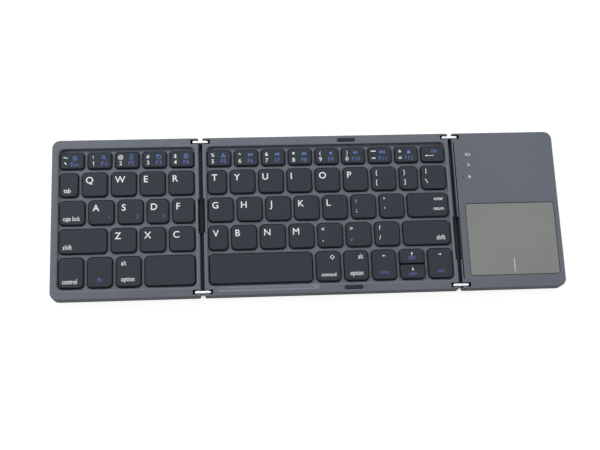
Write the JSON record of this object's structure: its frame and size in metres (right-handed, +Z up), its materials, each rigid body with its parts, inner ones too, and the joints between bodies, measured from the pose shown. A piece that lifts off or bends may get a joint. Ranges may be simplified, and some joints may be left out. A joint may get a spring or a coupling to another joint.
{
  "type": "folding keyboard",
  "caption": "Slim keyboard in panels that fold flat over the middle on double-pivot links, with sprung keys, a tipping touchpad and rubber feet.",
  "frame": {"origin": "middle of the open keyboard, on the table under the rubber feet", "axes": "+X to the right along the length, +Y to the back (number row), +Z up"},
  "size_m": [0.285, 0.091, 0.0083],
  "materials": {
    "casing": "fine matte slate grey",
    "base": "matte dark grey",
    "key_plastic": "fine matte charcoal",
    "touch_surface": "satin warm grey",
    "link_chrome": "polished",
    "pin_steel": "ground",
    "screw_steel": "zinc plated",
    "spine_plastic": "matte near black",
    "rubber": "matte",
    "dome_silicone": "translucent matte",
    "membrane_film": "clear printed film",
    "plate_steel": "rolled",
    "circuit_board": "solder mask",
    "battery_foil": "satin foil",
    "socket_metal": "plated",
    "light_guide": "clear",
    "cable_film": "amber film",
    "magnet": "nickel plated"
  },
  "bodies": {
    "centre": {"centre_deck": "casing", "centre_bottom_cover": "base", "centre_key_plate": "plate_steel", "centre_membrane": "membrane_film", "centre_domes": "dome_silicone", "centre_screws": "screw_steel", "centre_feet": "rubber", "centre_magnets": "magnet", "rest_pads": "rubber"},
    "left_link": {"left_hinge_links": "link_chrome", "left_spine": "spine_plastic", "left_hinge_pins": "pin_steel", "left_flat_cable": "cable_film"},
    "left_wing": {"left_deck": "casing", "left_bottom_cover": "base", "left_key_plate": "plate_steel", "left_membrane": "membrane_film", "left_domes": "dome_silicone", "left_screws": "screw_steel", "left_feet": "rubber", "left_magnets": "magnet"},
    "right_link": {"right_hinge_links": "link_chrome", "right_spine": "spine_plastic", "right_hinge_pins": "pin_steel", "right_flat_cable": "cable_film"},
    "right_wing": {"right_deck": "casing", "right_bottom_cover": "base", "main_board": "circuit_board", "battery": "battery_foil", "charge_socket": "socket_metal", "light_guides": "light_guide", "right_screws": "screw_steel", "right_feet": "rubber", "right_magnets": "magnet"},
    "touchpad": {"touchpad": "touch_surface", "touchpad_board": "circuit_board"},
    "control_key": {"control_key": "key_plastic"},
    "fn_key": {"fn_key": "key_plastic"},
    "left_option_key": {"left_option_key": "key_plastic"},
    "left_space_key": {"left_space_key": "key_plastic"},
    "left_shift_key": {"left_shift_key": "key_plastic"},
    "letter_keys_zxc": {"letter_keys_zxc": "key_plastic"},
    "caps_lock_key": {"caps_lock_key": "key_plastic"},
    "letter_keys_asdf": {"letter_keys_asdf": "key_plastic"},
    "tab_key": {"tab_key": "key_plastic"},
    "letter_keys_qwer": {"letter_keys_qwer": "key_plastic"},
    "number_keys_left": {"number_keys_left": "key_plastic"},
    "space_bar": {"space_bar": "key_plastic"},
    "command_key": {"command_key": "key_plastic"},
    "right_option_key": {"right_option_key": "key_plastic"},
    "left_arrow_key": {"left_arrow_key": "key_plastic"},
    "up_arrow_key": {"up_arrow_key": "key_plastic"},
    "down_arrow_key": {"down_arrow_key": "key_plastic"},
    "right_arrow_key": {"right_arrow_key": "key_plastic"},
    "letter_keys_lower": {"letter_keys_lower": "key_plastic"},
    "right_shift_key": {"right_shift_key": "key_plastic"},
    "letter_keys_home": {"letter_keys_home": "key_plastic"},
    "enter_key": {"enter_key": "key_plastic"},
    "letter_keys_upper": {"letter_keys_upper": "key_plastic"},
    "number_keys_centre": {"number_keys_centre": "key_plastic"}
  },
  "joints": [
    {"name": "left_link_hinge", "type": "hinge", "parent": "centre", "child": "left_link", "pos_m": [-0.0574, 0, 0.0057], "axis": [0, 1, 0], "range_deg": [0, 90], "deforming": ["left_flat_cable"]},
    {"name": "left_wing_hinge", "type": "hinge", "parent": "left_link", "child": "left_wing", "pos_m": [-0.0624, 0, 0.0057], "axis": [0, 1, 0], "range_deg": [0, 90], "deforming": ["left_flat_cable"]},
    {"name": "right_link_hinge", "type": "hinge", "parent": "centre", "child": "right_link", "pos_m": [0.0804, 0, 0.0057], "axis": [0, -1, 0], "range_deg": [0, 90], "deforming": ["right_flat_cable"]},
    {"name": "right_wing_hinge", "type": "hinge", "parent": "right_link", "child": "right_wing", "pos_m": [0.0854, 0, 0.0057], "axis": [0, -1, 0], "range_deg": [0, 90], "deforming": ["right_flat_cable"]},
    {"name": "touchpad_click", "type": "hinge", "parent": "right_wing", "child": "touchpad", "pos_m": [0.11425, 0.0013, 0.0058], "axis": [1, 0, 0], "range_deg": [0, 0.45], "stiffness_Nm_per_rad": 3.2, "springref_deg": -0.11},
    {"name": "control_key_press", "type": "slide", "parent": "left_wing", "child": "control_key", "axis": [0, 0, -1], "range_m": [0, 0.0012], "stiffness_N_per_m": 450, "springref_m": -0.0003, "deforming": ["left_domes"]},
    {"name": "fn_key_press", "type": "slide", "parent": "left_wing", "child": "fn_key", "axis": [0, 0, -1], "range_m": [0, 0.0012], "stiffness_N_per_m": 450, "springref_m": -0.0003, "deforming": ["left_domes"]},
    {"name": "left_option_key_press", "type": "slide", "parent": "left_wing", "child": "left_option_key", "axis": [0, 0, -1], "range_m": [0, 0.0012], "stiffness_N_per_m": 450, "springref_m": -0.0003, "deforming": ["left_domes"]},
    {"name": "left_space_key_press", "type": "slide", "parent": "left_wing", "child": "left_space_key", "axis": [0, 0, -1], "range_m": [0, 0.0012], "stiffness_N_per_m": 450, "springref_m": -0.0003, "deforming": ["left_domes"]},
    {"name": "left_shift_key_press", "type": "slide", "parent": "left_wing", "child": "left_shift_key", "axis": [0, 0, -1], "range_m": [0, 0.0012], "stiffness_N_per_m": 450, "springref_m": -0.0003, "deforming": ["left_domes"]},
    {"name": "letter_keys_zxc_press", "type": "slide", "parent": "left_wing", "child": "letter_keys_zxc", "axis": [0, 0, -1], "range_m": [0, 0.0012], "stiffness_N_per_m": 1350, "springref_m": -0.0003, "deforming": ["left_domes"]},
    {"name": "caps_lock_key_press", "type": "slide", "parent": "left_wing", "child": "caps_lock_key", "axis": [0, 0, -1], "range_m": [0, 0.0012], "stiffness_N_per_m": 450, "springref_m": -0.0003, "deforming": ["left_domes"]},
    {"name": "letter_keys_asdf_press", "type": "slide", "parent": "left_wing", "child": "letter_keys_asdf", "axis": [0, 0, -1], "range_m": [0, 0.0012], "stiffness_N_per_m": 1800, "springref_m": -0.0003, "deforming": ["left_domes"]},
    {"name": "tab_key_press", "type": "slide", "parent": "left_wing", "child": "tab_key", "axis": [0, 0, -1], "range_m": [0, 0.0012], "stiffness_N_per_m": 450, "springref_m": -0.0003, "deforming": ["left_domes"]},
    {"name": "letter_keys_qwer_press", "type": "slide", "parent": "left_wing", "child": "letter_keys_qwer", "axis": [0, 0, -1], "range_m": [0, 0.0012], "stiffness_N_per_m": 1800, "springref_m": -0.0003, "deforming": ["left_domes"]},
    {"name": "number_keys_left_press", "type": "slide", "parent": "left_wing", "child": "number_keys_left", "axis": [0, 0, -1], "range_m": [0, 0.0012], "stiffness_N_per_m": 2250, "springref_m": -0.0003, "deforming": ["left_domes"]},
    {"name": "space_bar_press", "type": "slide", "parent": "centre", "child": "space_bar", "axis": [0, 0, -1], "range_m": [0, 0.0012], "stiffness_N_per_m": 450, "springref_m": -0.0003, "deforming": ["centre_domes"]},
    {"name": "command_key_press", "type": "slide", "parent": "centre", "child": "command_key", "axis": [0, 0, -1], "range_m": [0, 0.0012], "stiffness_N_per_m": 450, "springref_m": -0.0003, "deforming": ["centre_domes"]},
    {"name": "right_option_key_press", "type": "slide", "parent": "centre", "child": "right_option_key", "axis": [0, 0, -1], "range_m": [0, 0.0012], "stiffness_N_per_m": 450, "springref_m": -0.0003, "deforming": ["centre_domes"]},
    {"name": "left_arrow_key_press", "type": "slide", "parent": "centre", "child": "left_arrow_key", "axis": [0, 0, -1], "range_m": [0, 0.0012], "stiffness_N_per_m": 450, "springref_m": -0.0003, "deforming": ["centre_domes"]},
    {"name": "up_arrow_key_press", "type": "slide", "parent": "centre", "child": "up_arrow_key", "axis": [0, 0, -1], "range_m": [0, 0.0012], "stiffness_N_per_m": 450, "springref_m": -0.0003, "deforming": ["centre_domes"]},
    {"name": "down_arrow_key_press", "type": "slide", "parent": "centre", "child": "down_arrow_key", "axis": [0, 0, -1], "range_m": [0, 0.0012], "stiffness_N_per_m": 450, "springref_m": -0.0003, "deforming": ["centre_domes"]},
    {"name": "right_arrow_key_press", "type": "slide", "parent": "centre", "child": "right_arrow_key", "axis": [0, 0, -1], "range_m": [0, 0.0012], "stiffness_N_per_m": 450, "springref_m": -0.0003, "deforming": ["centre_domes"]},
    {"name": "letter_keys_lower_press", "type": "slide", "parent": "centre", "child": "letter_keys_lower", "axis": [0, 0, -1], "range_m": [0, 0.0012], "stiffness_N_per_m": 3150, "springref_m": -0.0003, "deforming": ["centre_domes"]},
    {"name": "right_shift_key_press", "type": "slide", "parent": "centre", "child": "right_shift_key", "axis": [0, 0, -1], "range_m": [0, 0.0012], "stiffness_N_per_m": 450, "springref_m": -0.0003, "deforming": ["centre_domes"]},
    {"name": "letter_keys_home_press", "type": "slide", "parent": "centre", "child": "letter_keys_home", "axis": [0, 0, -1], "range_m": [0, 0.0012], "stiffness_N_per_m": 3150, "springref_m": -0.0003, "deforming": ["centre_domes"]},
    {"name": "enter_key_press", "type": "slide", "parent": "centre", "child": "enter_key", "axis": [0, 0, -1], "range_m": [0, 0.0012], "stiffness_N_per_m": 450, "springref_m": -0.0003, "deforming": ["centre_domes"]},
    {"name": "letter_keys_upper_press", "type": "slide", "parent": "centre", "child": "letter_keys_upper", "axis": [0, 0, -1], "range_m": [0, 0.0012], "stiffness_N_per_m": 4050, "springref_m": -0.0003, "deforming": ["centre_domes"]},
    {"name": "number_keys_centre_press", "type": "slide", "parent": "centre", "child": "number_keys_centre", "axis": [0, 0, -1], "range_m": [0, 0.0012], "stiffness_N_per_m": 4050, "springref_m": -0.0003, "deforming": ["centre_domes"]}
  ]
}
